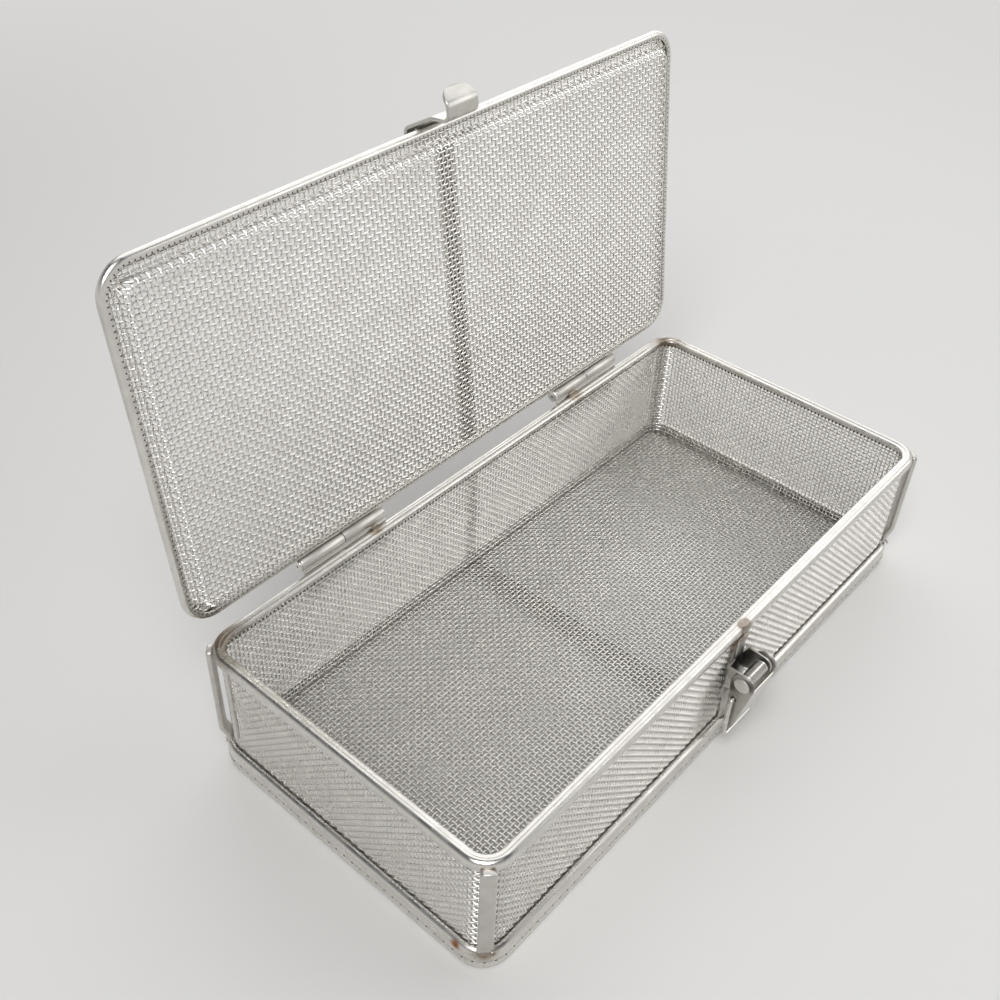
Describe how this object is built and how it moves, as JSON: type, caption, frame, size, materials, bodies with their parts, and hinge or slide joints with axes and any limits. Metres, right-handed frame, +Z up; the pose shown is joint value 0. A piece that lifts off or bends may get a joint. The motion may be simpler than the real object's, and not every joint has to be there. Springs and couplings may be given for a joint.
{
  "type": "autoclave basket",
  "caption": "Rectangular wire mesh sterilising basket with a hinged mesh lid, a folded rim and base frame, and a sprung toggle latch that hooks the lid shut.",
  "frame": {"origin": "centre of the basket's underside, on the surface it stands on", "axes": "+Z up, +X along the basket's length towards its right end, -Y towards the latch side, +Y towards the hinge side"},
  "size_m": [0.2466, 0.1534, 0.1901],
  "materials": {
    "wire_cloth": "bright woven stainless wire",
    "polished_channel": "electropolished folded sheet",
    "sheet_steel": "satin sheet",
    "drawn_wire": "bright drawn wire"
  },
  "bodies": {
    "basket": {"wall_mesh": "wire_cloth", "floor_mesh": "wire_cloth", "rim_channel": "polished_channel", "base_ring": "polished_channel", "corner_post_front_left": "sheet_steel", "corner_post_front_right": "sheet_steel", "corner_post_back_left": "sheet_steel", "corner_post_back_right": "sheet_steel", "front_upright": "sheet_steel", "back_upright": "sheet_steel", "floor_brace": "sheet_steel", "mesh_seam_strip": "sheet_steel", "hinge_leaf_left": "sheet_steel", "hinge_leaf_right": "sheet_steel", "hinge_pin_left": "drawn_wire", "hinge_pin_right": "drawn_wire", "latch_base_plate": "sheet_steel", "latch_pin": "drawn_wire", "latch_spring": "drawn_wire"},
    "lid": {"lid_frame": "polished_channel", "lid_mesh": "wire_cloth", "lid_brace": "sheet_steel", "lid_hinge_leaf_left": "sheet_steel", "lid_hinge_leaf_right": "sheet_steel", "latch_keeper": "sheet_steel"},
    "lever": {"latch_lever": "sheet_steel"},
    "bail": {"latch_bail": "drawn_wire"}
  },
  "joints": [
    {"name": "lid_hinge", "type": "hinge", "parent": "basket", "child": "lid", "pos_m": [0, 0.0618, 0.0548], "axis": [1, 0, 0], "range_deg": [0, 96.7]},
    {"name": "lever_pivot", "type": "hinge", "parent": "basket", "child": "lever", "pos_m": [0, -0.0658, 0.0348], "axis": [-1, 0, 0], "range_deg": [0, 40]},
    {"name": "bail_pivot", "type": "hinge", "parent": "lever", "child": "bail", "pos_m": [0, -0.064, 0.0269], "axis": [1, 0, 0], "range_deg": [-170.5, 8]}
  ]
}
